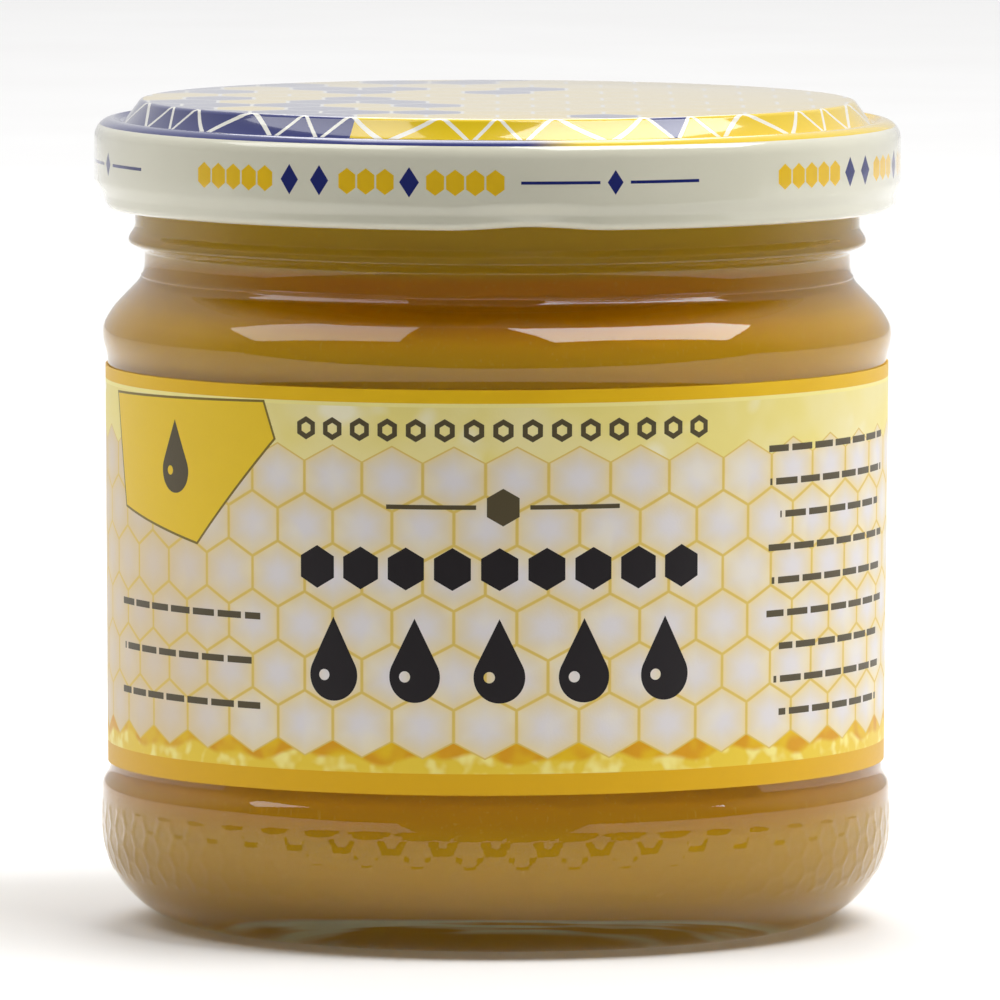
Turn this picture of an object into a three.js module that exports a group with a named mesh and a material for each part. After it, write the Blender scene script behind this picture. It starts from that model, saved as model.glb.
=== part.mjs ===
// A jar of creamed honey: a round glass with a screw-on metal lid and a paper label.
// Millimetres, +Z up. The origin is the middle of the ring the jar stands on, and the
// label's front faces -Y.

import * as THREE from 'three';

// Driving dimensions, in millimetres unless a name says degrees
const FACETS = 60;

const BODY_RADIUS = 35.7;
const HEEL_RADIUS = 9.0;
const HEEL_BAND_TOP = 12.3;
const STAND_RING_WIDTH = 2.4;
const PUNT_DEPTH = 1.8;
const BASE_THICKNESS = 3.2;
const WALL = 2.1;
const INNER_HEEL_RADIUS = 7.0;

const PANEL_BOTTOM = 14.2;
const PANEL_TOP = 50.9;
const PANEL_RADIUS_BOTTOM = 35.0;
const PANEL_RADIUS_TOP = 35.26;

const SHOULDER_HEIGHT = 53.4;
const SHOULDER_RADIUS = 3.0;
const SHOULDER_SLOPE_DEGREES = 50;
const NECK_RADIUS = 31.95;
const NECK_FILLET = 1.6;
const NECK_BOTTOM = 58.9;
const NECK_TOP = 60.4;
const BEAD_RADIUS = 33.4;
const BEAD_HEIGHT = 61.85;
const FINISH_RADIUS = 32.8;
const FINISH_BOTTOM = 63.3;
const RIM_TOP = 71.5;
const RIM_ROUNDING = 1.1;

const LABEL_BOTTOM = 14.8;
const LABEL_TOP = 50.8;
const LABEL_THICKNESS = 0.16;
const LABEL_CLEARANCE = 0.06;
const LABEL_HALF_ANGLE_DEGREES = 156;

const HONEY_CLEARANCE = 0.3;
const HONEY_LEVEL = 66.5;

const LID_RADIUS = 36.5;
const LID_SHEET = 0.5;
const LID_TOP = 74.6;
const LID_PANEL_RADIUS = 32.6;
const LID_PANEL_ROUNDING = 0.6;
const LID_GROOVE_RADIUS = 34.15;
const LID_GROOVE_WIDTH = 0.4;
const LID_GROOVE_HEIGHT = 72.5;
const LID_SHOULDER_ROUNDING = 1.7;
const LID_SHOULDER_TOP = 72.9;
const LID_SKIRT_BOTTOM = 67.5;
const LID_BOTTOM = 64.9;
const LID_CURL_RADIUS = 0.75;
const LID_CURL_INSET = 0.35;
const LUG_COUNT = 4;
const LUG_ANGLE_DEGREES = 5;
const LUG_HALF_WIDTH_DEGREES = 12;
const LUG_RISE = 0.3;

const degrees = THREE.MathUtils.degToRad;
const lerp = THREE.MathUtils.lerp;

// A profile point: x is the radius and y the height
function point(radius, height) {
  return new THREE.Vector2(radius, height);
}

// Points on a circle of the profile plane; 0 degrees points outwards and 90 degrees up
function arc(centreRadius, centreHeight, radius, from, to, steps) {
  const points = [];
  for (let i = 0; i <= steps; i++) {
    const angle = degrees(lerp(from, to, i / steps));
    points.push(point(
      centreRadius + radius * Math.cos(angle),
      centreHeight + radius * Math.sin(angle),
    ));
  }
  return points;
}

// A soft step from one radius to another, level at both ends
function ease(fromRadius, fromHeight, toRadius, toHeight) {
  const steps = 3;
  const points = [];
  for (let i = 0; i <= steps; i++) {
    const share = 0.5 - 0.5 * Math.cos(Math.PI * i / steps);
    points.push(point(lerp(fromRadius, toRadius, share), lerp(fromHeight, toHeight, i / steps)));
  }
  return points;
}

// A ring round the Z axis whose first row of corners lies at the front, on -Y; where two
// stretches of its profile meet, their common point is kept once
function lathe(profile) {
  const tolerance = 1e-6;
  const points = profile.filter((here, i) => i === 0 || here.distanceTo(profile[i - 1]) > tolerance);
  const geometry = new THREE.LatheGeometry(points, FACETS);
  geometry.rotateX(Math.PI / 2);
  return geometry;
}

// The label panel narrows slightly towards its foot
function panelRadius(height) {
  const share = (height - PANEL_BOTTOM) / (PANEL_TOP - PANEL_BOTTOM);
  return lerp(PANEL_RADIUS_BOTTOM, PANEL_RADIUS_TOP, share);
}

// The hollow of the glass from the middle of its floor up to a height in its neck, drawn
// in by the clearance that its filling keeps
function hollow(clearance, top) {
  const wallRadius = PANEL_RADIUS_BOTTOM - WALL - clearance;
  const neckRadius = NECK_RADIUS - WALL - clearance;
  const floor = PUNT_DEPTH + BASE_THICKNESS + clearance;
  const cornerHeight = floor + INNER_HEEL_RADIUS;
  const shoulderHeight = SHOULDER_HEIGHT - clearance;
  return [
    point(0, floor),
    ...arc(wallRadius - INNER_HEEL_RADIUS, cornerHeight, INNER_HEEL_RADIUS, -90, 0, 5),
    ...arc(wallRadius - SHOULDER_RADIUS, shoulderHeight, SHOULDER_RADIUS, 0, SHOULDER_SLOPE_DEGREES, 3),
    point(neckRadius, NECK_BOTTOM - clearance),
    point(neckRadius, top),
  ];
}

// The underside between the stand ring and the axis is a shallow dome
function punt(ringRadius) {
  const domeRadius = (ringRadius ** 2 + PUNT_DEPTH ** 2) / (2 * PUNT_DEPTH);
  const reach = THREE.MathUtils.radToDeg(Math.asin(ringRadius / domeRadius));
  return arc(0, PUNT_DEPTH - domeRadius, domeRadius, 90, 90 - reach, 3);
}

function buildGlass() {
  const heelCentre = BODY_RADIUS - HEEL_RADIUS;
  const filletCentre = NECK_RADIUS + NECK_FILLET;
  const rimHeight = RIM_TOP - RIM_ROUNDING;
  const mouthRadius = NECK_RADIUS - WALL;
  return lathe([
    ...punt(heelCentre - STAND_RING_WIDTH),
    ...arc(heelCentre, HEEL_RADIUS, HEEL_RADIUS, -90, 0, 8),
    ...ease(BODY_RADIUS, HEEL_BAND_TOP, PANEL_RADIUS_BOTTOM, PANEL_BOTTOM),
    ...ease(PANEL_RADIUS_TOP, PANEL_TOP, BODY_RADIUS, SHOULDER_HEIGHT),
    ...arc(BODY_RADIUS - SHOULDER_RADIUS, SHOULDER_HEIGHT, SHOULDER_RADIUS, 0, SHOULDER_SLOPE_DEGREES, 4),
    ...arc(filletCentre, NECK_BOTTOM, NECK_FILLET, 180 + SHOULDER_SLOPE_DEGREES, 180, 3),
    ...ease(NECK_RADIUS, NECK_TOP, BEAD_RADIUS, BEAD_HEIGHT),
    ...ease(BEAD_RADIUS, BEAD_HEIGHT, FINISH_RADIUS, FINISH_BOTTOM),
    ...arc(FINISH_RADIUS - RIM_ROUNDING, rimHeight, RIM_ROUNDING, 0, 90, 3),
    ...arc(mouthRadius + RIM_ROUNDING, rimHeight, RIM_ROUNDING, 90, 180, 3),
    ...hollow(0, rimHeight).reverse(),
  ]);
}

function buildHoney() {
  return lathe([...hollow(HONEY_CLEARANCE, HONEY_LEVEL), point(0, HONEY_LEVEL)]);
}

// A closed sheet bent round the label panel, its facets in step with those of the glass
function buildLabel() {
  const step = 360 / FACETS;
  const columns = 2 * LABEL_HALF_ANGLE_DEGREES / step;
  const outer = LABEL_CLEARANCE + LABEL_THICKNESS;
  const corners = [
    [LABEL_CLEARANCE, LABEL_BOTTOM],
    [outer, LABEL_BOTTOM],
    [outer, LABEL_TOP],
    [LABEL_CLEARANCE, LABEL_TOP],
  ];
  const positions = [];
  for (let i = 0; i <= columns; i++) {
    const angle = degrees(-LABEL_HALF_ANGLE_DEGREES + i * step);
    for (const [proud, height] of corners) {
      const radius = panelRadius(height) + proud;
      positions.push(radius * Math.sin(angle), -radius * Math.cos(angle), height);
    }
  }
  const sides = corners.length;
  const indices = [];
  for (let i = 0; i < columns; i++) {
    for (let side = 0; side < sides; side++) {
      const here = i * sides + side;
      const beside = i * sides + (side + 1) % sides;
      indices.push(here, here + sides, beside + sides, here, beside + sides, beside);
    }
  }
  const last = columns * sides;
  indices.push(0, 1, 2, 0, 2, 3);
  indices.push(last, last + 2, last + 1, last, last + 3, last + 2);
  const geometry = new THREE.BufferGeometry();
  geometry.setAttribute('position', new THREE.Float32BufferAttribute(positions, 3));
  geometry.setIndex(indices);
  return geometry;
}

// How far the lid's lower edge rises at an angle: a smooth bump at each pressed-in lug
function lugBump(angleDegrees) {
  const spacing = 360 / LUG_COUNT;
  const turned = angleDegrees - LUG_ANGLE_DEGREES + spacing / 2;
  const away = THREE.MathUtils.euclideanModulo(turned, spacing) - spacing / 2;
  if (Math.abs(away) > LUG_HALF_WIDTH_DEGREES) return 0;
  return LUG_RISE * (0.5 + 0.5 * Math.cos(Math.PI * away / LUG_HALF_WIDTH_DEGREES));
}

// The bumps fade out up the skirt
function raiseEdgeAtLugs(geometry) {
  const position = geometry.attributes.position;
  for (let i = 0; i < position.count; i++) {
    const height = position.getZ(i);
    const share = (LID_SKIRT_BOTTOM - height) / (LID_SKIRT_BOTTOM - LID_BOTTOM);
    const angle = THREE.MathUtils.radToDeg(Math.atan2(position.getX(i), -position.getY(i)));
    position.setZ(i, height + lugBump(angle) * Math.max(share, 0));
  }
}

// A cup of thin sheet: a raised panel, a groove, a rounded shoulder, a skirt, and an edge
// curled inwards
function buildLid() {
  const shoulderCentre = LID_RADIUS - LID_SHOULDER_ROUNDING;
  const shoulderHeight = LID_SHOULDER_TOP - LID_SHOULDER_ROUNDING;
  const curlCentre = LID_RADIUS - LID_CURL_INSET - LID_CURL_RADIUS;
  const curlHeight = LID_BOTTOM + LID_CURL_RADIUS;
  const grooveInner = LID_GROOVE_RADIUS - LID_GROOVE_WIDTH / 2;
  const grooveOuter = LID_GROOVE_RADIUS + LID_GROOVE_WIDTH / 2;
  const outside = [
    point(0, LID_TOP),
    ...arc(LID_PANEL_RADIUS - LID_PANEL_ROUNDING, LID_TOP - LID_PANEL_ROUNDING,
      LID_PANEL_ROUNDING, 90, 30, 2),
    point(grooveInner, LID_GROOVE_HEIGHT),
    point(grooveOuter, LID_GROOVE_HEIGHT),
    ...arc(shoulderCentre, shoulderHeight, LID_SHOULDER_ROUNDING, 90, 0, 5),
    point(LID_RADIUS, LID_SKIRT_BOTTOM),
    ...arc(curlCentre, curlHeight, LID_CURL_RADIUS, 0, -180, 5),
  ];
  const inside = [
    ...arc(curlCentre, curlHeight, LID_CURL_RADIUS, 130, 60, 2),
    point(LID_RADIUS - LID_SHEET, LID_SKIRT_BOTTOM),
    ...arc(shoulderCentre, shoulderHeight, LID_SHOULDER_ROUNDING - LID_SHEET, 0, 90, 3),
    point(grooveOuter, LID_GROOVE_HEIGHT - LID_SHEET),
    point(grooveInner - LID_SHEET, LID_GROOVE_HEIGHT - LID_SHEET),
    point(LID_PANEL_RADIUS - 2 * LID_SHEET, LID_TOP - LID_SHEET),
    point(0, LID_TOP - LID_SHEET),
  ];
  const geometry = lathe([...outside, ...inside].reverse());
  raiseEdgeAtLugs(geometry);
  return geometry;
}

function piece(name, geometry, color, roughness, metalness = 0) {
  const material = new THREE.MeshStandardMaterial({ color, roughness, metalness });
  const mesh = new THREE.Mesh(geometry, material);
  mesh.name = name;
  return mesh;
}

const jar = new THREE.Group();
jar.add(
  piece('glass_jar', buildGlass(), 0xdfe8df, 0.04),
  piece('honey', buildHoney(), 0xb98a35, 0.45),
  piece('label', buildLabel(), 0xf0dc8c, 0.5),
  piece('lid', buildLid(), 0xded9cc, 0.3, 0.1),
);

export default jar;
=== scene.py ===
import math

import bmesh
import bpy
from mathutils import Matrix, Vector, noise


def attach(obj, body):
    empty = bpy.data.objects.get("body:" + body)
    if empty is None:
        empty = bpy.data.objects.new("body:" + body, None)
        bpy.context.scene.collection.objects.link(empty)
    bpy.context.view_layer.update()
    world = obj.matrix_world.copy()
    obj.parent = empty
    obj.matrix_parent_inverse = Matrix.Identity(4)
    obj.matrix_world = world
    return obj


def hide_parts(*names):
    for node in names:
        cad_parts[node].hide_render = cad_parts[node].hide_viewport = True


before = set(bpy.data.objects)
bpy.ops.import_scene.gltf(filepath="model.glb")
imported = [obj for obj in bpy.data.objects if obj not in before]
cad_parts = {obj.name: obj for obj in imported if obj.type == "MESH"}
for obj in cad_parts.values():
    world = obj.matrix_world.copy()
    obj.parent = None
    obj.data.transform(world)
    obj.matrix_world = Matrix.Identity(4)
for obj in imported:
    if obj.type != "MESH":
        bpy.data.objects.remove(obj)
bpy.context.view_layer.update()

MM = 0.001
ROOT3 = math.sqrt(3)

# The glass, in millimetres unless a name says degrees
BODY_RADIUS = 35.7
HEEL_RADIUS = 9.0
HEEL_STEPS = 56
HEEL_BAND_TOP = 12.47
STAND_RING_WIDTH = 2.4
PUNT_DEPTH = 1.8
PANEL_BOTTOM = 14.2
PANEL_TOP = 50.9
PANEL_RADIUS_BOTTOM = 35.0
PANEL_RADIUS_TOP = 35.26
SHOULDER_HEIGHT = 53.4
SHOULDER_TURN_HEIGHT = 53.6
SHOULDER_TURN_RADIUS = 2.2
SHOULDER_TURN_DEGREES = 28
SHOULDER_CROWN_RADIUS = 8.0
SHOULDER_CROWN_DEGREES = 46
NECK_RADIUS = 31.95
NECK_FILLET = 3.0
NECK_FILLET_HEIGHT = 59.9
NECK_TOP = 60.8
BEAD_RADIUS = 33.4
BEAD_HEIGHT = 61.85
FINISH_RADIUS = 32.8
FINISH_BOTTOM = 63.3
RIM_TOP = 71.5
RIM_ROUNDING = 1.1
GLASS_SEGMENTS = 240

# The hair-thin ridge that the halves of the neck mould leave
PARTING_LINE_HEIGHT = 58.7
PARTING_LINE_HALF_WIDTH = 0.12
PARTING_LINE_RISE = 0.06
PARTING_LINE_LEAN = 0.03
PARTING_LINE_GAP_DEGREES = 4

# The inside of the glass
WALL = 2.1
BASE_THICKNESS = 3.2
INNER_HEEL_RADIUS = 7.0
INNER_SHOULDER_RADIUS = 3.0
INNER_SHOULDER_DEGREES = 50
INNER_NECK_BOTTOM = 58.9

# The raised pattern round the heel
RELIEF_MIDDLE = 8.0
RELIEF_CELL = 2.7
RELIEF_COLUMN_PAIRS = 48
RELIEF_LINE = 0.45
RELIEF_RISE = 0.07
RELIEF_FINENESS = 3

# The honey reaches just into the wall, so that no air shows between them
HONEY_REACH = 0.1
HONEY_LEVEL = 66.5
HONEY_SEGMENTS = 160

# The label, which sits a hair askew
LABEL_BOTTOM = 14.8
LABEL_TOP = 50.8
LABEL_INNER = 0.03
LABEL_OUTER = 0.2
LABEL_HALF_ANGLE_DEGREES = 156
LABEL_PRINT_RADIUS = 35.4
LABEL_TILT = 0.005

# The print on the label, as heights above the floor and widths along the paper
UPPER_BAND_BOTTOM = 49.6
LIGHT_LINE_BOTTOM = 49.25
LOWER_BAND_TOP = 16.7
COMB_CELL_WIDTH = 5.6
COMB_SQUEEZE = 0.907
COMB_SHIFT = 0.97
COMB_LOWEST_ROW = 20.9
COMB_TOP = 44.5
RUNNING_HONEY_TOP = 19.0

# The lid
LID_RADIUS = 36.5
LID_SHEET = 0.3
LID_TOP = 74.6
LID_PANEL_RADIUS = 32.6
LID_PANEL_ROUNDING = 0.6
LID_GROOVE_RADIUS = 34.15
LID_GROOVE_WIDTH = 0.4
LID_GROOVE_HEIGHT = 72.5
LID_SHOULDER_ROUNDING = 1.7
LID_SHOULDER_TOP = 72.9
LID_SKIRT_BOTTOM = 67.5
LID_BOTTOM = 64.9
LID_CURL_RADIUS = 0.75
LID_CURL_INSET = 0.35
LUG_COUNT = 4
LUG_ANGLE_DEGREES = 5
LUG_HALF_WIDTH_DEGREES = 12
LUG_RISE = 0.3
LUG_PRESS = 0.5
LID_SEGMENTS = 288

# The studio, in metres unless a name says otherwise
SOFTBOX_HEIGHT = 1.0
CAMERA_SIDE = 0.00031
CAMERA_DISTANCE = 1.40
CAMERA_HEIGHT = 0.1522
CAMERA_TARGET_HEIGHT = 0.0382
CAMERA_LENS_MM = 557.7
CAMERA_ROLL_DEGREES = 0.15


# Profiles, as points of radius and height in millimetres


def lerp(start, end, share):
    return start + (end - start) * share


def arc(centre_radius, centre_height, radius, start, end, steps):
    """Points on a circle; 0 degrees points outwards and 90 degrees up."""
    points = []
    for i in range(steps + 1):
        angle = math.radians(lerp(start, end, i / steps))
        across = centre_radius + radius * math.cos(angle)
        points.append((across, centre_height + radius * math.sin(angle)))
    return points


def ease(start_radius, start_height, end_radius, end_height, steps=8):
    """A soft step from one radius to another, upright at both ends."""
    points = []
    for i in range(steps + 1):
        share = 0.5 - 0.5 * math.cos(math.pi * i / steps)
        height = lerp(start_height, end_height, i / steps)
        points.append((lerp(start_radius, end_radius, share), height))
    return points


def panel_radius(height):
    share = (height - PANEL_BOTTOM) / (PANEL_TOP - PANEL_BOTTOM)
    return lerp(PANEL_RADIUS_BOTTOM, PANEL_RADIUS_TOP, share)


def hollow(clearance, top):
    """The inside of the glass from the middle of its floor up to a height in its neck."""
    wall_radius = PANEL_RADIUS_BOTTOM - WALL - clearance
    neck_radius = NECK_RADIUS - WALL - clearance
    floor = PUNT_DEPTH + BASE_THICKNESS + clearance
    heel_centre = wall_radius - INNER_HEEL_RADIUS
    turn = INNER_SHOULDER_RADIUS
    turn_end = INNER_SHOULDER_DEGREES
    shoulder_height = SHOULDER_HEIGHT - clearance
    neck_height = INNER_NECK_BOTTOM - clearance
    return [
        (0, floor),
        *arc(heel_centre, floor + INNER_HEEL_RADIUS, INNER_HEEL_RADIUS, -90, 0, steps=20),
        *arc(wall_radius - turn, shoulder_height, turn, 0, turn_end, steps=10),
        *arc(neck_radius + turn, neck_height, turn, 180 + turn_end, 180, steps=8),
        (neck_radius, top),
    ]


def punt(ring_radius):
    """The shallow dome of the underside."""
    dome_radius = (ring_radius**2 + PUNT_DEPTH**2) / (2 * PUNT_DEPTH)
    reach = math.degrees(math.asin(ring_radius / dome_radius))
    return arc(0, PUNT_DEPTH - dome_radius, dome_radius, 90, 90 - reach, steps=12)


def heel():
    """The rounded heel and the upright band above it, fine enough for the raised pattern."""
    band_steps = 14
    band = []
    for i in range(1, band_steps):
        band.append((BODY_RADIUS, lerp(HEEL_RADIUS, HEEL_BAND_TOP, i / band_steps)))
    centre = BODY_RADIUS - HEEL_RADIUS
    return [*arc(centre, HEEL_RADIUS, HEEL_RADIUS, -90, 0, HEEL_STEPS), *band]


def shoulder():
    """A tight turn out of the body and a wide one up to the neck."""
    turn_end = math.radians(SHOULDER_TURN_DEGREES)
    turn_centre = BODY_RADIUS - SHOULDER_TURN_RADIUS
    gain = SHOULDER_CROWN_RADIUS - SHOULDER_TURN_RADIUS
    crown = arc(
        turn_centre - gain * math.cos(turn_end),
        SHOULDER_TURN_HEIGHT - gain * math.sin(turn_end),
        SHOULDER_CROWN_RADIUS,
        SHOULDER_TURN_DEGREES,
        SHOULDER_CROWN_DEGREES,
        steps=10,
    )
    turn = arc(
        turn_centre,
        SHOULDER_TURN_HEIGHT,
        SHOULDER_TURN_RADIUS,
        0,
        SHOULDER_TURN_DEGREES,
        steps=9,
    )
    return [*turn, *crown[1:]]


def neck_fillet():
    """The hollow curve from the shoulder up to the neck, with the ridge across it."""
    centre = NECK_RADIUS + NECK_FILLET
    sine = (NECK_FILLET_HEIGHT - PARTING_LINE_HEIGHT) / NECK_FILLET
    line_angle = 180 + math.degrees(math.asin(sine))
    below = line_angle + PARTING_LINE_GAP_DEGREES
    above = line_angle - PARTING_LINE_GAP_DEGREES
    foot = NECK_RADIUS + NECK_FILLET * (1 - math.sqrt(1 - sine**2))
    height = PARTING_LINE_HEIGHT
    start = 180 + SHOULDER_CROWN_DEGREES
    return [
        *arc(centre, NECK_FILLET_HEIGHT, NECK_FILLET, start, below, steps=8),
        (foot + PARTING_LINE_LEAN, height - PARTING_LINE_HALF_WIDTH),
        (foot + PARTING_LINE_RISE, height),
        (foot - PARTING_LINE_LEAN, height + PARTING_LINE_HALF_WIDTH),
        *arc(centre, NECK_FILLET_HEIGHT, NECK_FILLET, above, 180, steps=8),
    ]


def glass_profile():
    rim_height = RIM_TOP - RIM_ROUNDING
    mouth_radius = NECK_RADIUS - WALL
    return [
        *punt(BODY_RADIUS - HEEL_RADIUS - STAND_RING_WIDTH),
        *heel(),
        *ease(BODY_RADIUS, HEEL_BAND_TOP, PANEL_RADIUS_BOTTOM, PANEL_BOTTOM),
        *ease(PANEL_RADIUS_TOP, PANEL_TOP, BODY_RADIUS, SHOULDER_HEIGHT),
        *shoulder(),
        *neck_fillet(),
        *ease(NECK_RADIUS, NECK_TOP, BEAD_RADIUS, BEAD_HEIGHT),
        *ease(BEAD_RADIUS, BEAD_HEIGHT, FINISH_RADIUS, FINISH_BOTTOM),
        *arc(FINISH_RADIUS - RIM_ROUNDING, rim_height, RIM_ROUNDING, 0, 90, steps=6),
        *arc(mouth_radius + RIM_ROUNDING, rim_height, RIM_ROUNDING, 90, 180, steps=6),
        *reversed(hollow(0, rim_height)),
    ]


def honey_profile():
    return [*hollow(-HONEY_REACH, HONEY_LEVEL), (0, HONEY_LEVEL)]


def lid_profile():
    """The inner face of the sheet from the axis out, round the curl, and back on top."""
    corner = LID_SHOULDER_ROUNDING
    shoulder_centre = LID_RADIUS - corner
    shoulder_height = LID_SHOULDER_TOP - corner
    curl = LID_CURL_RADIUS
    curl_centre = LID_RADIUS - LID_CURL_INSET - curl
    curl_height = LID_BOTTOM + curl
    curl_gap = 0.2
    curl_top = curl_height + curl_gap
    bend = LID_GROOVE_WIDTH / 2
    groove_inner = LID_GROOVE_RADIUS - bend
    groove_outer = LID_GROOVE_RADIUS + bend
    bend_height = LID_GROOVE_HEIGHT + bend
    panel_edge = LID_PANEL_RADIUS - LID_PANEL_ROUNDING
    panel_height = LID_TOP - LID_PANEL_ROUNDING
    return [
        (0, LID_TOP - LID_SHEET),
        (panel_edge, LID_TOP - LID_SHEET),
        (groove_inner - LID_SHEET, LID_GROOVE_HEIGHT - LID_SHEET),
        (groove_outer, LID_GROOVE_HEIGHT - LID_SHEET),
        *arc(shoulder_centre, shoulder_height, corner - LID_SHEET, 90, 0, steps=8),
        (LID_RADIUS - LID_SHEET, LID_SKIRT_BOTTOM),
        *arc(curl_centre, curl_height, curl, 60, 130, steps=4),
        *arc(curl_centre, curl_height, curl, 180, 360, steps=16),
        *ease(LID_RADIUS - LID_CURL_INSET, curl_top, LID_RADIUS, LID_SKIRT_BOTTOM)[1:],
        *arc(shoulder_centre, shoulder_height, corner, 0, 90, steps=16),
        *arc(groove_outer, bend_height, bend, 270, 200, steps=4),
        *arc(groove_inner, bend_height, bend, 270, 230, steps=3),
        *arc(panel_edge, panel_height, LID_PANEL_ROUNDING, 25, 90, steps=8),
        (panel_edge / 2, LID_TOP),
        (0, LID_TOP),
    ]


# Meshes


def add_piece(name, mesh, material, node):
    """Shows a mesh in place of a node of the frame."""
    piece = bpy.data.objects.new(name, mesh)
    bpy.context.collection.objects.link(piece)
    mesh.materials.append(material)
    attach(piece, "root")
    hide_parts(node)


def spot(radius, angle, height):
    """A vertex in metres; the angle is counted from the front, towards +X."""
    return (radius * math.sin(angle) * MM, -radius * math.cos(angle) * MM, height * MM)


def lathe(name, profile, segments, shape=None, fineness=None):
    """Turns a profile that starts and ends on the axis.

    shape may move each point a little, and fineness says how many times more points a ring gets.
    """
    on_axis = 1e-6
    vertices = []
    rings = []
    for radius, height in profile:
        count = segments * fineness(radius, height) if fineness else segments
        if radius < on_axis:
            count = 1
        ring = []
        for i in range(count):
            angle = 2 * math.pi * i / count
            place = shape(radius, angle, height) if shape else (radius, height)
            ring.append(len(vertices))
            vertices.append(spot(place[0], angle, place[1]))
        rings.append(ring)
    faces = []
    for lower, upper in zip(rings, rings[1:]):
        faces += stitched(lower, upper)
    return finished_mesh(name, vertices, faces)


def stitched(lower, upper):
    """The faces between two rings; a corner that a coarser ring repeats is left out."""
    count = max(len(lower), len(upper))
    faces = []
    for i in range(count):
        corners = [
            lower[i * len(lower) // count],
            lower[(i + 1) * len(lower) // count % len(lower)],
            upper[(i + 1) * len(upper) // count % len(upper)],
            upper[i * len(upper) // count],
        ]
        faces.append(list(dict.fromkeys(corners)))
    return faces


def finished_mesh(name, vertices, faces):
    """A closed mesh with smooth shading and sharp edges where its faces meet at an angle."""
    sharp_degrees = 32
    merge_distance = 1e-7
    mesh = bpy.data.meshes.new(name)
    mesh.from_pydata(vertices, [], faces)
    edit = bmesh.new()
    edit.from_mesh(mesh)
    bmesh.ops.remove_doubles(edit, verts=edit.verts, dist=merge_distance)
    bmesh.ops.recalc_face_normals(edit, faces=edit.faces)
    edit.to_mesh(mesh)
    edit.free()
    mesh.shade_smooth()
    mesh.set_sharp_from_angle(angle=math.radians(sharp_degrees))
    return mesh


def label_mesh():
    """A thin closed sheet round the label panel, with the faint waves of glued paper."""
    columns = 2 * LABEL_HALF_ANGLE_DEGREES
    rows = 24
    wave = 0.02
    wave_height = 9
    waves_per_radian = 4
    grid = {}
    vertices = []
    for side, proud in enumerate((LABEL_INNER, LABEL_OUTER)):
        for i in range(columns + 1):
            angle = math.radians(i - LABEL_HALF_ANGLE_DEGREES)
            tilt = LABEL_TILT * LABEL_PRINT_RADIUS * math.sin(angle)
            for j in range(rows + 1):
                height = lerp(LABEL_BOTTOM, LABEL_TOP, j / rows)
                place = Vector((angle * waves_per_radian, height / wave_height, side))
                radius = panel_radius(height) + proud + wave * noise.noise(place)
                grid[side, i, j] = len(vertices)
                vertices.append(spot(radius, angle, height + tilt))
    faces = []
    for i in range(columns):
        for j in range(rows):
            for side in (0, 1):
                corners = ((i, j), (i + 1, j), (i + 1, j + 1), (i, j + 1))
                faces.append([grid[side, a, b] for a, b in corners])
        for j in (0, rows):
            faces.append([grid[0, i, j], grid[0, i + 1, j], grid[1, i + 1, j], grid[1, i, j]])
    for i in (0, columns):
        for j in range(rows):
            faces.append([grid[0, i, j], grid[0, i, j + 1], grid[1, i, j + 1], grid[1, i, j]])
    return finished_mesh("label_sheet", vertices, faces)


def in_heel_band(radius, height):
    """The part of the heel that carries the raised pattern; the inner face follows it."""
    in_heel = radius > BODY_RADIUS - HEEL_RADIUS
    return in_heel and abs(height - RELIEF_MIDDLE) < RELIEF_CELL + RELIEF_LINE


def heel_fineness(radius, height):
    return RELIEF_FINENESS if in_heel_band(radius, height) else 1


def heel_shape(radius, angle, height):
    """The edges of two rows of honeycomb cells stand a little proud of the heel."""
    if not in_heel_band(radius, height):
        return radius, height
    up = (height - RELIEF_MIDDLE) / RELIEF_CELL
    across = angle / (2 * math.pi) * RELIEF_COLUMN_PAIRS
    out = 1
    for shift in (0, 0.5):
        cell_up = abs((up + shift) % 1 - 0.5)
        cell_across = abs((across + shift) % 1 - 0.5) * ROOT3
        out = min(out, max(cell_up, cell_up / 2 + cell_across * ROOT3 / 2))
    share = max(0, 1 - (0.5 - out) * RELIEF_CELL / RELIEF_LINE)
    proud = RELIEF_RISE * (3 - 2 * share) * share**2
    sine = max(0, 1 - height / HEEL_RADIUS)
    return radius + proud * math.sqrt(1 - sine**2), height - proud * sine


def lid_shape(radius, angle, height):
    """The lower edge of the lid rises and is pressed inwards at each lug."""
    spacing = 360 / LUG_COUNT
    turned = math.degrees(angle) - LUG_ANGLE_DEGREES + spacing / 2
    away = turned % spacing - spacing / 2
    share = max(0, (LID_SKIRT_BOTTOM - height) / (LID_SKIRT_BOTTOM - LID_BOTTOM))
    if abs(away) > LUG_HALF_WIDTH_DEGREES or share == 0:
        return radius, height
    press = share * (0.5 + 0.5 * math.cos(math.pi * away / LUG_HALF_WIDTH_DEGREES))
    return radius - LUG_PRESS * press, height + LUG_RISE * press


# Shader fields


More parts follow.
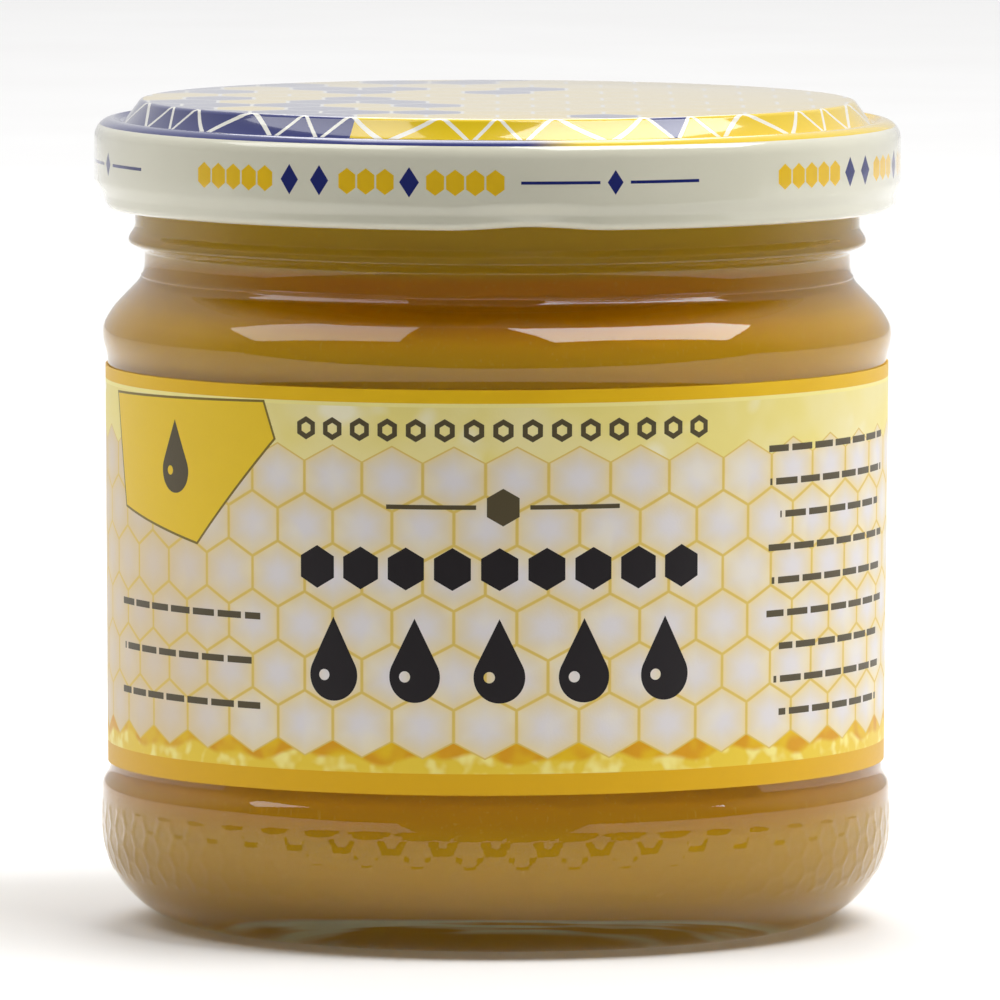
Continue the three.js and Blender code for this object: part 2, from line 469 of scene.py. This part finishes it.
class Field:
    """A number that varies over a surface. The usual signs add the nodes that work it out."""

    def __init__(self, tree, socket):
        self.tree = tree
        self.socket = socket

    def number(self, operation, *others):
        node = self.tree.nodes.new("ShaderNodeMath")
        node.operation = operation
        for value, slot in zip((self, *others), node.inputs):
            connect(self.tree, value, slot)
        return Field(self.tree, node.outputs[0])

    def __add__(self, other):
        return self.number("ADD", other)

    def __sub__(self, other):
        return self.number("SUBTRACT", other)

    def __mul__(self, other):
        return self.number("MULTIPLY", other)

    def __truediv__(self, other):
        return self.number("DIVIDE", other)

    def __abs__(self):
        return self.number("ABSOLUTE")

    def __lt__(self, other):
        return self.number("LESS_THAN", other)

    def __gt__(self, other):
        return self.number("GREATER_THAN", other)

    def __and__(self, other):
        return self.number("MULTIPLY", other)

    def __or__(self, other):
        return self.number("MAXIMUM", other)

    def __invert__(self):
        return self * -1.0 + 1.0

    def fraction(self):
        return self.number("FRACT")

    def rounded(self):
        return self.number("ROUND")

    def sine(self):
        return self.number("SINE")

    def root(self):
        return self.number("SQRT")

    def largest(self, other):
        return self.number("MAXIMUM", other)

    def smallest(self, other):
        return self.number("MINIMUM", other)

    def between(self, low, high):
        return (self > low) & (self < high)

    def fade(self, low, high):
        """Rises smoothly from 0 at low to 1 at high."""
        node = self.tree.nodes.new("ShaderNodeMapRange")
        node.interpolation_type = "SMOOTHSTEP"
        connect(self.tree, self, node.inputs["Value"])
        node.inputs["From Min"].default_value = low
        node.inputs["From Max"].default_value = high
        return Field(self.tree, node.outputs["Result"])


def connect(tree, value, slot):
    if isinstance(value, Field):
        tree.links.new(value.socket, slot)
    else:
        slot.default_value = value


def combine(tree, x, y, z):
    node = tree.nodes.new("ShaderNodeCombineXYZ")
    for value, slot in zip((x, y, z), node.inputs):
        connect(tree, value, slot)
    return Field(tree, node.outputs[0])


def position(tree):
    """The place on the surface in the jar's own frame, in millimetres, and its x, y and z."""
    texture = tree.nodes.new("ShaderNodeTexCoord")
    scale = tree.nodes.new("ShaderNodeVectorMath")
    scale.operation = "SCALE"
    scale.inputs["Scale"].default_value = 1 / MM
    tree.links.new(texture.outputs["Object"], scale.inputs[0])
    split = tree.nodes.new("ShaderNodeSeparateXYZ")
    tree.links.new(scale.outputs[0], split.inputs[0])
    return [Field(tree, scale.outputs[0])] + [Field(tree, socket) for socket in split.outputs]


def around(x, y, radius):
    """The way round the jar from the front, in millimetres at a radius."""
    return x.number("ARCTAN2", y * -1.0) * radius


def cloud(tree, place, size, detail=2.0, roughness=0.5):
    """Smooth noise from 0 to 1 whose lumps are about size millimetres across."""
    node = tree.nodes.new("ShaderNodeTexNoise")
    tree.links.new(place.socket, node.inputs["Vector"])
    node.inputs["Scale"].default_value = 1 / size
    node.inputs["Detail"].default_value = detail
    node.inputs["Roughness"].default_value = roughness
    return Field(tree, node.outputs["Fac"])


def dice(tree, x, y, seed):
    """A random number from 0 to 1 for each pair of x and y."""
    node = tree.nodes.new("ShaderNodeTexWhiteNoise")
    tree.links.new(combine(tree, x, y, float(seed)).socket, node.inputs["Vector"])
    return Field(tree, node.outputs["Value"])


def blend(tree, share, first, second):
    """The colour between two colours, each a field or a plain colour."""
    node = tree.nodes.new("ShaderNodeMix")
    node.data_type = "RGBA"
    connect(tree, share, node.inputs["Factor"])
    for value, slot in ((first, node.inputs[6]), (second, node.inputs[7])):
        connect(tree, value, slot)
    return Field(tree, node.outputs[2])


def bump(tree, height, distance, strength=1.0):
    """Tilts the surface as if it rose by a distance in millimetres where height is 1."""
    node = tree.nodes.new("ShaderNodeBump")
    node.inputs["Strength"].default_value = strength
    node.inputs["Distance"].default_value = distance * MM
    tree.links.new(height.socket, node.inputs["Height"])
    return Field(tree, node.outputs["Normal"])


def linear(value):
    """One part of a screen colour, from 0 to 255, in Blender's own linear numbers."""
    value /= 255
    return value / 12.92 if value <= 0.04045 else ((value + 0.055) / 1.055) ** 2.4


def colour(red, green, blue):
    return (linear(red), linear(green), linear(blue), 1.0)


def honeycomb(x, y, width, squeeze=1.0):
    """Upright hexagons: how far out in its cell a point is, 0.5 at the edge, and the middle of
    the cell across and up, counted in cell widths."""
    x = x / width
    y = y / (width * squeeze * ROOT3)
    even_x = x.fraction() - 0.5
    even_y = (y.fraction() - 0.5) * ROOT3
    odd_x = (x - 0.5).fraction() - 0.5
    odd_y = ((y - 0.5).fraction() - 0.5) * ROOT3
    is_even = (even_x * even_x + even_y * even_y) < (odd_x * odd_x + odd_y * odd_y)
    along = odd_x + is_even * (even_x - odd_x)
    up = odd_y + is_even * (even_y - odd_y)
    out = abs(along).largest(abs(along) * 0.5 + abs(up) * (ROOT3 / 2))
    column = ((x - along) * 2).rounded() * 0.5
    row = y * ROOT3 - up
    return out, column, row


def hexagon(x, y, width):
    """1 inside an upright hexagon round the origin."""
    return abs(x).largest(abs(x) * 0.5 + abs(y) * (ROOT3 / 2)) < width / 2


def disc(x, y, radius):
    """1 inside a circle round the origin."""
    return (x * x + y * y) < radius**2


def drop(x, y, radius, height):
    """1 inside a drop: round at the foot, with its point at a height above the foot's middle."""
    sine = radius / height
    cosine = math.sqrt(1 - sine**2)
    point = (y > radius * sine) & ((abs(x) * cosine + y * sine) < radius)
    return disc(x, y, radius) | point


def diamond(x, y, width, height):
    """1 inside an upright diamond round the origin."""
    return (abs(x) * (height / width) + abs(y)) < height / 2


def box(x, y, half_width, half_height):
    """1 inside a rectangle round the origin."""
    return (abs(x) < half_width) & (abs(y) < half_height)


def depth_inside(x, y, corners):
    """How far a point lies inside a convex outline whose corners go anticlockwise."""
    depth = None
    for start, end in zip(corners, corners[1:] + corners[:1]):
        length = math.dist(start, end)
        across = (end[0] - start[0]) / length
        up = (end[1] - start[1]) / length
        edge = (y - start[1]) * across - (x - start[0]) * up
        depth = edge if depth is None else depth.smallest(edge)
    return depth


def repeated(x, pitch):
    """The distance from the nearest of a row of marks, and that mark's number."""
    number = (x / pitch).rounded()
    return x - number * pitch, number


def row_of(x, pitch, count):
    """The distance from the nearest of an odd count of marks round the origin, and 1 among them."""
    offset, number = repeated(x, pitch)
    return offset, abs(number) < count / 2


# Materials


def new_material(name):
    material = bpy.data.materials.new(name)
    material.use_nodes = True
    tree = material.node_tree
    return material, tree, tree.nodes["Principled BSDF"]


def glass_material():
    """Clear, faintly green glass with long shallow waves."""
    material, tree, shader = new_material("clear_glass")
    place = position(tree)[0]
    shader.inputs["Base Color"].default_value = (0.965, 0.99, 0.965, 1.0)
    shader.inputs["Roughness"].default_value = 0.0
    shader.inputs["IOR"].default_value = 1.5
    shader.inputs["Transmission Weight"].default_value = 1.0
    waves = cloud(tree, place, 7.0, 0.0)
    tree.links.new(bump(tree, waves, 0.02).socket, shader.inputs["Normal"])
    return material


def honey_material():
    """Creamed honey: fine crystals in soft clouds of ochre, with painted shade in deeper orange at
    the front of the shoulder and below the label, and a pale streaked ring of painted light
    underneath, seen through the foot."""
    # Where each change of colour starts and ends: heights, and distances from the axis
    heel_top = (13.0, 17.0)
    neck_start = (60.0, 61.5)
    shoulder_start = (53.0, 56.0)
    shoulder_end = (59.8, 61.0)
    front_to_side = (10.0, 30.0)
    label_foot_start = (9.5, 13.5)
    label_foot_end = (15.0, 17.0)
    ring_inner = (22.8, 23.6)
    ring_outer = (25.6, 26.6)
    ring_top = 5.3

    material, tree, shader = new_material("creamed_honey")
    place, x, y, z = position(tree)
    radius = (x * x + y * y).root()
    patches = cloud(tree, place, 14.0, 1.0).fade(0.3, 0.7)
    light = blend(tree, patches, colour(238, 180, 10), colour(243, 187, 18))
    # Painted shade: the deep tone stands in for honey that turns redder in the shadow of the lid
    # and the label.
    painted_shade_tone = blend(tree, patches, colour(250, 162, 2), colour(252, 169, 4))
    # Painted light and shade: the light tone is darker low on the heel and paler at the neck.
    light = blend(tree, z.fade(*heel_top), colour(222, 170, 12), light)
    light = blend(tree, z.fade(*neck_start), light, colour(250, 202, 50))

    # Painted shade masks: the front of the shoulder, and the foot of the label.
    at_front = ~abs(x).fade(*front_to_side)
    painted_shade_at_shoulder = z.fade(*shoulder_start) & ~z.fade(*shoulder_end) & at_front
    painted_shade_below_label = z.fade(*label_foot_start) * 0.6 & ~z.fade(*label_foot_end)
    tone = blend(tree, painted_shade_at_shoulder | painted_shade_below_label, light, painted_shade_tone)

    # Painted light: a pale streaked ring on the honey's underside stands in for light shining
    # through the foot of the glass.
    ring_place = combine(tree, radius, around(x, y, 2.0), z)
    painted_light_streaks = cloud(tree, ring_place, 0.9, 1.0).fade(0.35, 0.6)
    painted_light_ring = radius.fade(*ring_inner) & ~radius.fade(*ring_outer) & (z < ring_top)
    tone = blend(tree, painted_light_ring & painted_light_streaks, tone, colour(252, 252, 214))
    crystals = cloud(tree, place, 0.35, 1.0, 0.7).fade(0.6, 0.8) * 0.25
    tone = blend(tree, crystals, tone, colour(246, 208, 80))
    tree.links.new(tone.socket, shader.inputs["Base Color"])
    shader.inputs["Roughness"].default_value = 0.5
    shader.inputs["Specular IOR Level"].default_value = 0.0
    return material


def label_material():
    """Printed paper, with fine fibres in its gloss and its surface."""
    material, tree, shader = new_material("label_paper")
    brown_ink = colour(84, 74, 50)
    black_ink = colour(30, 25, 28)
    place, x, y, z = position(tree)
    along = around(x, y, LABEL_PRINT_RADIUS)
    z = z - x * LABEL_TILT
    print_colour = label_ground(tree, place, along, z)
    print_colour = label_patch(tree, print_colour, along, z, brown_ink)
    print_colour = blend(tree, small_marks(tree, along, z), print_colour, brown_ink)
    print_colour = blend(tree, large_marks(along, z), print_colour, black_ink)
    tree.links.new(print_colour.socket, shader.inputs["Base Color"])
    fibres = cloud(tree, place, 0.25, 1.0, 0.65)
    tree.links.new((fibres * 0.12 + 0.36).socket, shader.inputs["Roughness"])
    tree.links.new(bump(tree, fibres, 0.02, 0.5).socket, shader.inputs["Normal"])
    shader.inputs["Specular IOR Level"].default_value = 0.3
    return material


def label_ground(tree, place, along, z):
    """A pale cloudy field and a honeycomb, running honey at their foot, and golden bands."""
    ground = pale_field(tree, place)
    cell, cell_height = comb(tree, place, along, z)
    ground = blend(tree, cell_height < COMB_TOP, ground, cell)
    honey = running_honey(tree, place, along, z)
    ground = blend(tree, cell_height < RUNNING_HONEY_TOP, ground, honey)
    light_line = z.between(LIGHT_LINE_BOTTOM, UPPER_BAND_BOTTOM)
    ground = blend(tree, light_line, ground, colour(248, 234, 150))

    tint = cloud(tree, place, 12.0, 1.0).fade(0.3, 0.7)
    band = blend(tree, tint, colour(232, 183, 12), colour(236, 190, 16))
    band = blend(tree, z < LOWER_BAND_TOP, band, colour(226, 174, 8))
    bands = (z > UPPER_BAND_BOTTOM) | (z < LOWER_BAND_TOP)
    return blend(tree, bands, ground, band)


def pale_field(tree, place):
    """Clouds of two pale yellows, with a few lighter ones."""
    clouds = cloud(tree, place, 9.0, 2.0).fade(0.4, 0.65)
    field = blend(tree, clouds, colour(240, 224, 134), colour(243, 230, 164))
    light_clouds = cloud(tree, place, 5.0, 1.0).fade(0.6, 0.75)
    return blend(tree, light_clouds, field, colour(248, 240, 205))


def comb(tree, place, along, z):
    """Cells printed paler in the middle, a little flatter than regular hexagons, with painted shade
    towards the left, and how high each cell stands.
    """
    unit = COMB_CELL_WIDTH * COMB_SQUEEZE
    start = COMB_LOWEST_ROW - unit * ROOT3 / 2
    shifted = along + (COMB_SHIFT + COMB_CELL_WIDTH / 2)
    out, _, row = honeycomb(shifted, z - start, COMB_CELL_WIDTH, COMB_SQUEEZE)
    cell = blend(tree, out.fade(0.05, 0.5), colour(230, 224, 224), colour(234, 217, 178))
    cell = blend(tree, out.fade(0.38, 0.5) * 0.7, cell, colour(240, 216, 150))
    shade = cloud(tree, place, 3.0, 1.0).fade(0.45, 0.8) * 0.4
    cell = blend(tree, shade, cell, colour(246, 236, 205))
    # Painted shade: the cells darken towards the left.
    left = (along * -1.0).fade(18.0, 38.0) * 0.6
    cell = blend(tree, left, cell, colour(220, 194, 150))
    cell = blend(tree, out.fade(0.465, 0.485), cell, colour(226, 196, 100))
    return cell, row * unit + start


def running_honey(tree, place, along, z):
    """Orange between the feet of the lowest cells, and a pale wavy sheen below."""
    wave = (along * 1.07).sine() * 0.3 + (along * 0.46).sine() * 0.35
    patches = cloud(tree, place, 2.5, 1.0).fade(0.35, 0.65)
    orange = blend(tree, patches, colour(222, 158, 14), colour(232, 190, 20))
    glints = cloud(tree, place, 1.6, 1.0).fade(0.45, 0.7)
    sheen = blend(tree, glints, colour(238, 205, 60), colour(250, 234, 140))
    return blend(tree, (z + wave).fade(17.7, 18.3), sheen, orange)


def label_patch(tree, ground, along, z, ink):
    """A plain golden patch at the upper left with a drop on it."""
    corners = [(-45.6, 48.9), (-43.2, 38.8), (-30.3, 36.3), (-20.9, 46.1), (-22.1, 49.4)]
    outline_outer = -0.12
    outline_inner = 0.1
    drop_along = -33.5
    drop_foot = 42.6
    depth = depth_inside(along, z, corners)
    ground = blend(tree, depth > outline_outer, ground, colour(128, 108, 40))
    ground = blend(tree, depth > outline_inner, ground, colour(238, 200, 40))
    x = along - drop_along
    y = z - drop_foot
    mark = drop(x, y, 2.0, 4.6) & ~disc(x + 0.75, y, 0.42)
    return blend(tree, mark, ground, ink)


def large_marks(along, z):
    """Dark shapes across the front: five drops, and nine hexagons above them."""
    middle = 0.3
    drop_foot = 25.3
    hexagon_height = 34.9
    x = along - middle
    y = z - drop_foot
    offset, in_row = row_of(x, pitch=7.6, count=5)
    drops = drop(offset, y, 2.3, 5.2) & in_row & ~disc(offset + 0.9, y, 0.5)
    offset, in_row = row_of(x, pitch=4.2, count=9)
    return drops | (hexagon(offset, z - hexagon_height, 3.3) & in_row)


def small_marks(tree, along, z):
    """Fine brown shapes: a row of hexagons, a rule with a badge, and dashed lines at both sides."""
    middle = 0.6
    ring_height = 47.2
    rule_height = 40.4
    left_along, left_height = -33.5, 26.2
    right_along, right_height = 37.5, 33.0
    x = along - middle
    y = z - ring_height
    offset, in_row = row_of(x, pitch=2.6, count=15)
    rings = hexagon(offset, y, 1.8) & ~hexagon(offset, y, 0.9) & in_row
    y = z - rule_height
    rule = box(x, y, 10.5, 0.2) & ~box(x, y, 2.4, 1.0)
    badge = hexagon(x, y, 2.9)
    left = dashed_lines(tree, along - left_along, z - left_height, pitch=4.0, count=3)
    right = dashed_lines(tree, along - right_along, z - right_height, pitch=2.95, count=9)
    return rings | rule | badge | left | right


def dashed_lines(tree, x, z, pitch, count):
    """Dashed lines of uneven length, one below the other."""
    longest = 12.0
    shortest = 8.4
    half_height = 0.3
    dashes_per_mm = 0.3
    shift_per_line = 0.37
    gap_share = 0.14
    offset, number = repeated(z, pitch)
    length = dice(tree, number, 1.0, 5) * (longest - shortest) + shortest
    is_dash = (x * dashes_per_mm + number * shift_per_line).fraction() > gap_share
    in_block = abs(number) < count / 2
    return (abs(offset) < half_height) & (abs(x) < length) & in_block & is_dash


def lid_material():
    """Printed tinplate under a clear, glossy lacquer."""
    material, tree, shader = new_material("lid_lacquer")
    place, x, y, z = position(tree)
    blue = colour(16, 30, 108)
    ring_bottom = LID_SHOULDER_TOP - 0.5
    print_colour = lid_top_print(tree, x, y, blue)
    print_colour = blend(tree, z < ring_bottom, print_colour, colour(226, 223, 202))
    print_colour = lid_skirt_print(tree, print_colour, x, y, z, blue)
    tree.links.new(print_colour.socket, shader.inputs["Base Color"])
    mottle = cloud(tree, place, 0.6, 1.0)
    tree.links.new((mottle * 0.08 + 0.2).socket, shader.inputs["Roughness"])
    waves = bump(tree, cloud(tree, place, 5.0, 1.0), 0.05, 0.4)
    tree.links.new(waves.socket, shader.inputs["Normal"])
    shader.inputs["Specular IOR Level"].default_value = 0.2
    shader.inputs["Coat Weight"].default_value = 1.0
    shader.inputs["Coat Roughness"].default_value = 0.06
    return material


def lid_top_print(tree, x, y, blue):
    """Honeycomb on the panel, a zigzag of cells on its slope, and a ring round both.

    On the panel the cells at the left are blue more often.
    """
    yellow = colour(230, 197, 10)
    line = colour(236, 234, 222)
    slope_start = LID_PANEL_RADIUS - 0.5
    ring_start = LID_GROOVE_RADIUS - 0.3
    slope_radius = 33
    cell_width = 6.3
    line_start = 0.475
    blue_at_middle = 0.27
    rarer_per_column = 0.13
    radius = (x * x + y * y).root()
    turn = around(x, y, slope_radius)
    out, column, row = honeycomb(x, y, cell_width)
    chance = dice(tree, column, row.rounded(), 3)
    is_blue = (column * rarer_per_column + chance) < blue_at_middle
    panel = blend(tree, out > line_start, blend(tree, is_blue, yellow, blue), line)
    slope = slope_print(tree, radius - slope_start, turn, yellow, blue, line)
    ring = blend(tree, turn.fade(2.0, 8.0), blue, yellow)
    top = blend(tree, radius > slope_start, panel, slope)
    return blend(tree, radius > ring_start, top, ring)


def slope_print(tree, depth, turn, yellow, blue, line):
    """Cells between the teeth of a zigzag, a little uneven in width: blue at the left, one blue
    cell at the front, and a few behind. depth is how far down the slope a point is."""
    pitch = 2 * math.pi
    wave = 1.1
    waves_per_mm = 0.36
    slope_width = 1.75
    half_line = 0.09
    blue_end = -13.2
    blue_cell = 2.5
    behind_start = 40.0
    blue_behind = 0.3
    uneven = turn + (turn * waves_per_mm).sine() * wave
    outer_offset, outer_number = repeated(uneven, pitch)
    _, inner_number = repeated(uneven - pitch / 2, pitch)
    zigzag = depth / slope_width - abs(outer_offset) / (pitch / 2)
    number = inner_number + 0.5 + (zigzag > 0.0) * (outer_number - inner_number - 0.5)
    chance = dice(tree, (number * 2).rounded(), 0.0, 6)
    behind = (turn > behind_start) & (chance < blue_behind)
    is_blue = (turn < blue_end) | (abs(number - blue_cell) < 0.1) | behind
    return blend(tree, abs(zigzag) < half_line, blend(tree, is_blue, yellow, blue), line)


def lid_skirt_print(tree, ground, x, y, z, blue):
    """Four times round the skirt: hexagons in rows of five, three and four with diamonds
    between them, and then a rule with a diamond in its middle."""
    quarter = math.pi * LID_RADIUS / 2
    start_turn = 10.0
    middle = 69.2
    pitch = 1.78
    width = 1.62
    stretch = 1.25
    rule_middle = 20.6
    along, _ = repeated(around(x, y, LID_RADIUS) + start_turn, quarter)
    up = z - middle
    hexagons = None
    for start, count in ((-19.9, 5), (-4.5, 3), (3.6, 4)):
        offset, number = repeated(along - start - pitch * 0.5, pitch)
        group = hexagon(offset, up / stretch, width) & number.between(-0.5, count - 0.5)
        hexagons = group if hexagons is None else hexagons | group
    from_rule = along - rule_middle
    marks = box(from_rule, up, 8.5, 0.14) & ~box(from_rule, up, 1.4, 1.4)
    marks = marks | diamond(from_rule, up, 1.4667, 2.2)
    for place in (-9.3, -6.3, 2.15):
        marks = marks | diamond(along - place, up, 1.8, 2.7)
    on_skirt = z < LID_SHOULDER_TOP - LID_SHOULDER_ROUNDING
    ground = blend(tree, hexagons & on_skirt, ground, colour(240, 194, 4))
    return blend(tree, marks & on_skirt, ground, blue)


def floor_material():
    """Matt white with faint clouds."""
    material, tree, shader = new_material("pale_floor")
    place = position(tree)[0]
    clouds = cloud(tree, place, 60.0, 3.0)
    tone = blend(tree, clouds, colour(240, 239, 238), colour(246, 246, 245))
    tree.links.new(tone.socket, shader.inputs["Base Color"])
    shader.inputs["Roughness"].default_value = 0.7
    return material


# The studio


def add_floor():
    """A table top whose near edge lies out of view, between the jar and the camera."""
    side = 0.8
    near = -0.14
    far = 2.2
    height = -0.00002
    outline = [(-side, near), (side, near), (side, far), (-side, far)]
    mesh = bpy.data.meshes.new("floor")
    mesh.from_pydata([(x, y, height) for x, y in outline], [], [(0, 1, 2, 3)])
    mesh.materials.append(floor_material())
    floor = bpy.data.objects.new("floor", mesh)
    bpy.context.collection.objects.link(floor)


def add_softbox(name, x, y, turn_degrees, length, width, radiance):
    """A large lamp overhead that shines straight down."""
    lamp = bpy.data.lights.new(name, "AREA")
    lamp.shape = "RECTANGLE"
    lamp.size = length
    lamp.size_y = width
    lamp.energy = radiance * math.pi * length * width
    softbox = bpy.data.objects.new(name, lamp)
    softbox.location = (x, y, SOFTBOX_HEIGHT)
    softbox.rotation_euler.z = math.radians(turn_degrees)
    bpy.context.collection.objects.link(softbox)


def add_world():
    """Grey light from the front, where the camera stands, paler from behind, and plain white
    wherever the camera sees it."""
    front = (0.17, 0.17, 0.17, 1.0)
    back = (0.7, 0.7, 0.71, 1.0)
    white = (1.0, 1.0, 1.0, 1.0)
    world = bpy.data.worlds.new("studio")
    bpy.context.scene.world = world
    world.use_nodes = True
    tree = world.node_tree
    texture = tree.nodes.new("ShaderNodeTexCoord")
    split = tree.nodes.new("ShaderNodeSeparateXYZ")
    tree.links.new(texture.outputs["Generated"], split.inputs[0])
    backwards = Field(tree, split.outputs[1])
    path = tree.nodes.new("ShaderNodeLightPath")
    in_view = Field(tree, path.outputs["Is Camera Ray"])
    studio = blend(tree, backwards.fade(-0.3, 0.5), front, back)
    shown = blend(tree, in_view, studio, white)
    tree.links.new(shown.socket, tree.nodes["Background"].inputs["Color"])
    tree.nodes["Background"].inputs["Strength"].default_value = 1.0


def add_camera():
    """At the photograph's angle: far off and a little above the lid."""
    camera = bpy.data.cameras.new("camera")
    camera.sensor_width = 36
    camera.lens = CAMERA_LENS_MM
    camera.clip_end = 20
    viewer = bpy.data.objects.new("camera", camera)
    viewer.location = (CAMERA_SIDE, -CAMERA_DISTANCE, CAMERA_HEIGHT)
    bpy.context.collection.objects.link(viewer)
    direction = Vector((CAMERA_SIDE, 0, CAMERA_TARGET_HEIGHT)) - viewer.location
    viewer.rotation_euler = direction.to_track_quat("-Z", "Y").to_euler()
    viewer.rotation_euler.rotate_axis("Z", math.radians(CAMERA_ROLL_DEGREES))
    bpy.context.scene.camera = viewer


glass = lathe("jar_glass", glass_profile(), GLASS_SEGMENTS, heel_shape, heel_fineness)
honey = lathe("jar_honey", honey_profile(), HONEY_SEGMENTS)
lid = lathe("jar_lid", lid_profile(), LID_SEGMENTS, lid_shape)
add_piece("jar_glass", glass, glass_material(), "glass_jar")
add_piece("jar_honey", honey, honey_material(), "honey")
add_piece("jar_label", label_mesh(), label_material(), "label")
add_piece("jar_lid", lid, lid_material(), "lid")

add_floor()
add_softbox("left_softbox", -0.74, -0.10, -28, length=0.95, width=0.5, radiance=3.6)
add_softbox("right_softbox", 0.56, -0.13, 30, length=1.0, width=0.5, radiance=7.6)
add_softbox("back_softbox", 0.0, 1.4, 90, length=2.0, width=0.5, radiance=2.8)
add_world()
add_camera()
bpy.context.scene.view_settings.view_transform = "Standard"
